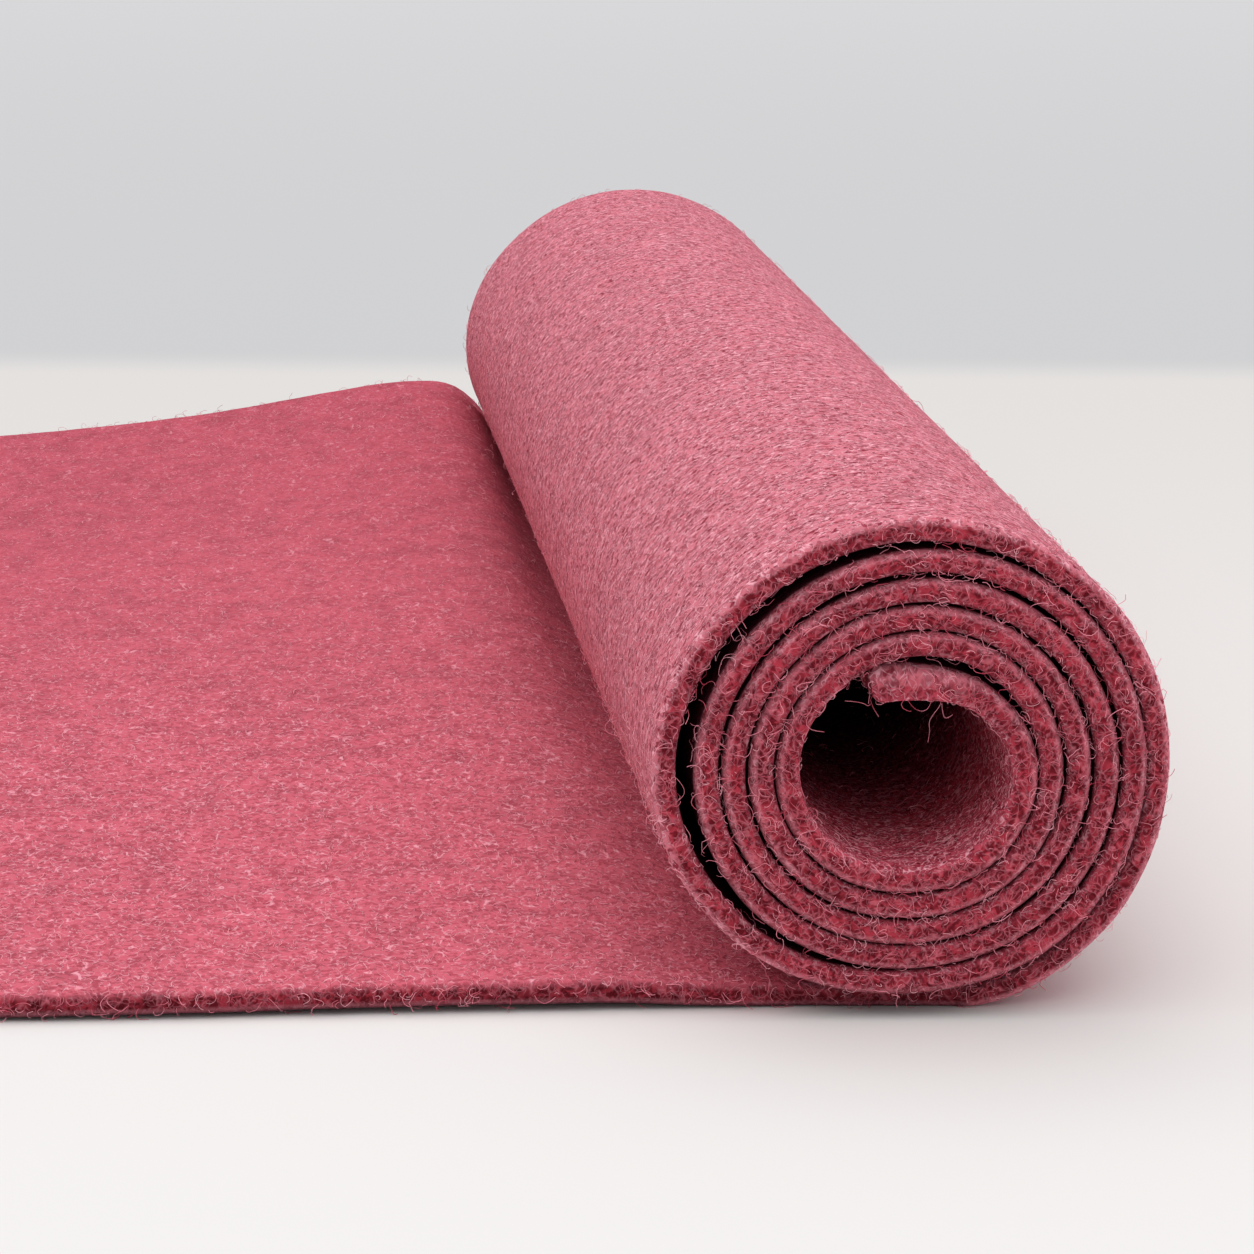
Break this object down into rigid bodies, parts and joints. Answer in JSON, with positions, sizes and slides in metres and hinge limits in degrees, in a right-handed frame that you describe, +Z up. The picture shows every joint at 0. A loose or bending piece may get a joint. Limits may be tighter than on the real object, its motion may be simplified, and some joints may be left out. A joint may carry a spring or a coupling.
{
  "type": "roll of felt",
  "caption": "Cut length of thick felt, wound into a loose roll with an open core, its outer end lying unrolled and flat beside the roll.",
  "frame": {"origin": "on the surface that the felt lies on, at the middle of the whole piece's footprint", "axes": "+Z up, +Y along the roll's axis from its near end to its far end, +X from the unrolled end towards the roll"},
  "size_m": [0.2944, 0.3052, 0.061],
  "materials": {
    "felt": "matt, fuzzy wool felt, darker on the cut edges"
  },
  "bodies": {
    "root": {"felt_sheet": "felt"}
  },
  "joints": []
}
